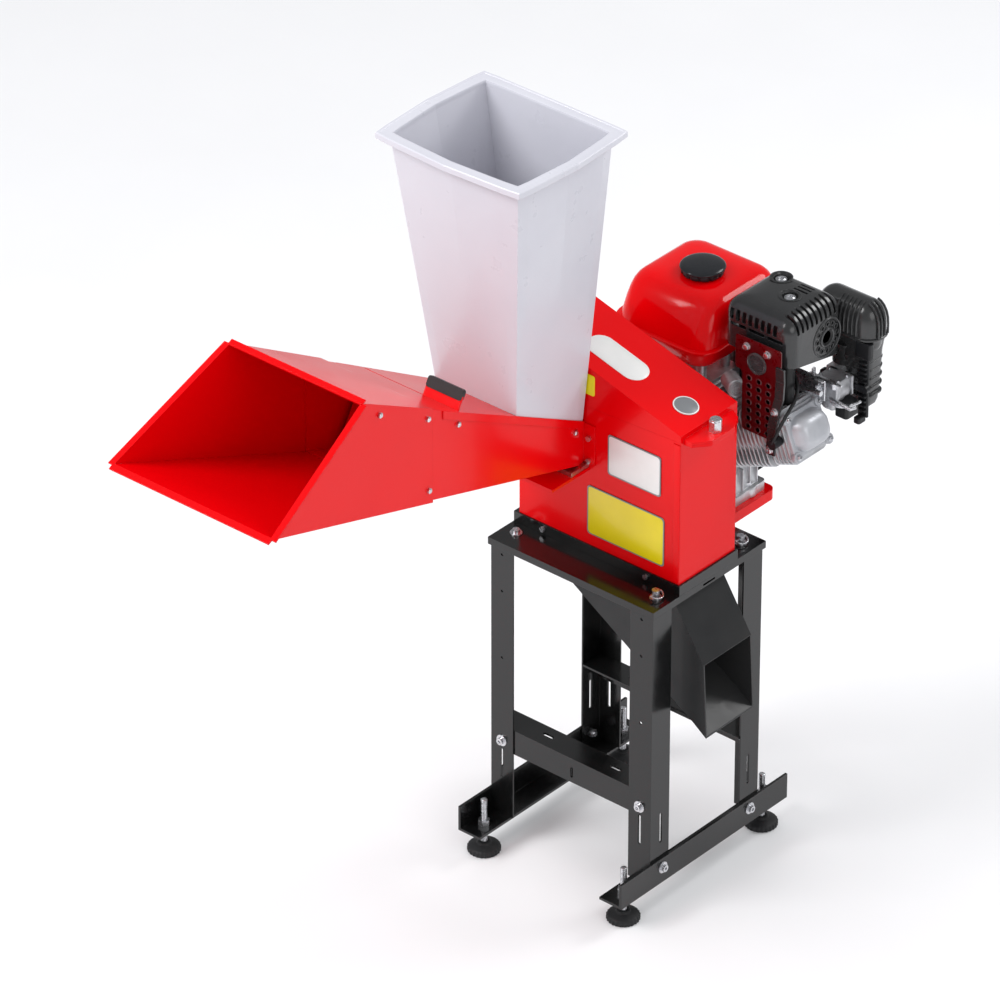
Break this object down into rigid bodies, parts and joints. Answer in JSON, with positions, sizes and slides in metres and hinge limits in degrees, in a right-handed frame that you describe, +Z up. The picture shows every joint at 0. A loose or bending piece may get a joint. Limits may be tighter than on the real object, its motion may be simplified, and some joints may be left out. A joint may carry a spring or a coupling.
{
  "type": "wood chipper",
  "caption": "Stand-mounted garden wood chipper: flared feed chute and tall hopper into a disc-knife housing, small engine behind, discharge duct below, levelling feet.",
  "frame": {"origin": "on the floor, under the middle of the bounding box", "axes": "+Z up, -Y the feed side (chute mouth), +Y the engine side, +X the discharge side"},
  "size_m": [0.564, 1.3684, 1.479],
  "materials": {
    "painted_black": "satin powder coat",
    "duct_black": "semi-gloss paint",
    "rubber": "moulded, matt",
    "zinc": "bright zinc plate",
    "gloss_red": "high gloss",
    "shield_red": "satin",
    "ground_steel": "ground",
    "rotor_steel": "machined",
    "hopper_white": "semi-translucent, smooth",
    "label_blank": "printed film, blank",
    "cast_aluminium": "as cast",
    "hot_steel": "heat-resistant satin",
    "black_plastic": "fine texture",
    "switch_red": "moulded"
  },
  "bodies": {
    "machine": {"table_top": "painted_black", "leg_front_left": "painted_black", "leg_front_right": "painted_black", "leg_back_left": "painted_black", "leg_back_right": "painted_black", "front_cross_brace": "painted_black", "back_cross_brace": "painted_black", "left_base_rail": "painted_black", "right_base_rail": "painted_black", "foot_nuts": "zinc", "stand_bolts": "zinc", "table_pins": "zinc", "base_flange": "painted_black", "discharge_duct": "duct_black", "casing": "gloss_red", "hinge_pin": "zinc", "inlet_shelf": "gloss_red", "counter_knife": "ground_steel", "chute_inner": "gloss_red", "chute_outer": "gloss_red", "hopper": "hopper_white", "housing_bolts": "zinc", "info_plates": "label_blank", "engine_base_plate": "gloss_red", "crankcase": "cast_aluminium", "cylinder_block": "cast_aluminium", "valve_cover": "cast_aluminium", "muffler": "hot_steel", "muffler_guard": "hot_steel", "heat_shield": "shield_red", "air_cleaner": "black_plastic", "air_cleaner_cover": "black_plastic", "carburettor": "cast_aluminium", "fuel_tank": "gloss_red", "fan_shroud": "black_plastic", "recoil_cover": "black_plastic", "spark_plug_cap": "black_plastic", "engine_bolts": "zinc"},
    "rotor": {"rotor_disc": "rotor_steel", "rotor_knives": "ground_steel", "rotor_fan": "rotor_steel", "crankshaft": "ground_steel", "flywheel": "cast_aluminium"},
    "hood_body": {"hood": "gloss_red", "hood_badge": "label_blank"},
    "clamp": {"clamp_bolt": "zinc"},
    "gate": {"feed_gate": "gloss_red", "gate_grip": "black_plastic"},
    "cap": {"fuel_cap": "black_plastic"},
    "grip": {"starter_grip": "black_plastic"},
    "throttle": {"throttle_lever": "black_plastic"},
    "choke": {"choke_lever": "black_plastic"},
    "fuel_valve": {"fuel_valve_lever": "black_plastic"},
    "switch": {"engine_switch": "switch_red"},
    "ring_front": {"ring_clip_front": "zinc"},
    "ring_back": {"ring_clip_back": "zinc"},
    "foot_fl": {"foot_front_left": "rubber"},
    "foot_fr": {"foot_front_right": "rubber"},
    "foot_bl": {"foot_back_left": "rubber"},
    "foot_br": {"foot_back_right": "rubber"}
  },
  "joints": [
    {"name": "rotor_spin", "type": "hinge", "parent": "machine", "child": "rotor", "pos_m": [0.00301, 0.30817, 0.755], "axis": [0, 1, 0], "continuous": true},
    {"name": "hood_hinge", "type": "hinge", "parent": "machine", "child": "hood_body", "pos_m": [-0.18399, 0.30817, 0.912], "axis": [0, -1, 0], "range_deg": [0, 95]},
    {"name": "clamp_turn", "type": "hinge", "parent": "hood_body", "child": "clamp", "pos_m": [0.20401, 0.29617, 0.929], "axis": [0, 0, 1], "continuous": true},
    {"name": "gate_slide", "type": "slide", "parent": "machine", "child": "gate", "axis": [0, 0.4915, 0.8709], "range_m": [0, 0.14]},
    {"name": "fuel_cap_turn", "type": "hinge", "parent": "machine", "child": "cap", "pos_m": [-0.04399, 0.56117, 1.03], "axis": [0, 0, 1], "range_deg": [0, 90]},
    {"name": "starter_pull", "type": "slide", "parent": "machine", "child": "grip", "axis": [0, 1, 0], "range_m": [0, 0.4]},
    {"name": "throttle_swing", "type": "hinge", "parent": "machine", "child": "throttle", "pos_m": [0.10001, 0.60017, 0.866], "axis": [0, 1, 0], "range_deg": [0, 50]},
    {"name": "choke_swing", "type": "hinge", "parent": "machine", "child": "choke", "pos_m": [0.24001, 0.61417, 0.892], "axis": [0, 1, 0], "range_deg": [0, 60]},
    {"name": "fuel_valve_swing", "type": "hinge", "parent": "machine", "child": "fuel_valve", "pos_m": [0.20801, 0.61417, 0.892], "axis": [0, -1, 0], "range_deg": [0, 60]},
    {"name": "switch_turn", "type": "hinge", "parent": "machine", "child": "switch", "pos_m": [0.14801, 0.60017, 0.852], "axis": [0, 1, 0], "range_deg": [0, 60]},
    {"name": "ring_front_swing", "type": "hinge", "parent": "machine", "child": "ring_front", "pos_m": [0.15701, 0.20017, 0.633], "axis": [0, -1, 0], "range_deg": [0, 140]},
    {"name": "ring_back_swing", "type": "hinge", "parent": "machine", "child": "ring_back", "pos_m": [0.15701, 0.42817, 0.633], "axis": [0, -1, 0], "range_deg": [0, 140]},
    {"name": "foot_fl_turn", "type": "hinge", "parent": "machine", "child": "foot_fl", "pos_m": [-0.15999, 0.11817, 0.02], "axis": [0, 0, 1], "continuous": true},
    {"name": "foot_fr_turn", "type": "hinge", "parent": "machine", "child": "foot_fr", "pos_m": [0.16001, 0.11817, 0.02], "axis": [0, 0, 1], "continuous": true},
    {"name": "foot_bl_turn", "type": "hinge", "parent": "machine", "child": "foot_bl", "pos_m": [-0.15999, 0.49817, 0.02], "axis": [0, 0, 1], "continuous": true},
    {"name": "foot_br_turn", "type": "hinge", "parent": "machine", "child": "foot_br", "pos_m": [0.16001, 0.49817, 0.02], "axis": [0, 0, 1], "continuous": true}
  ]
}
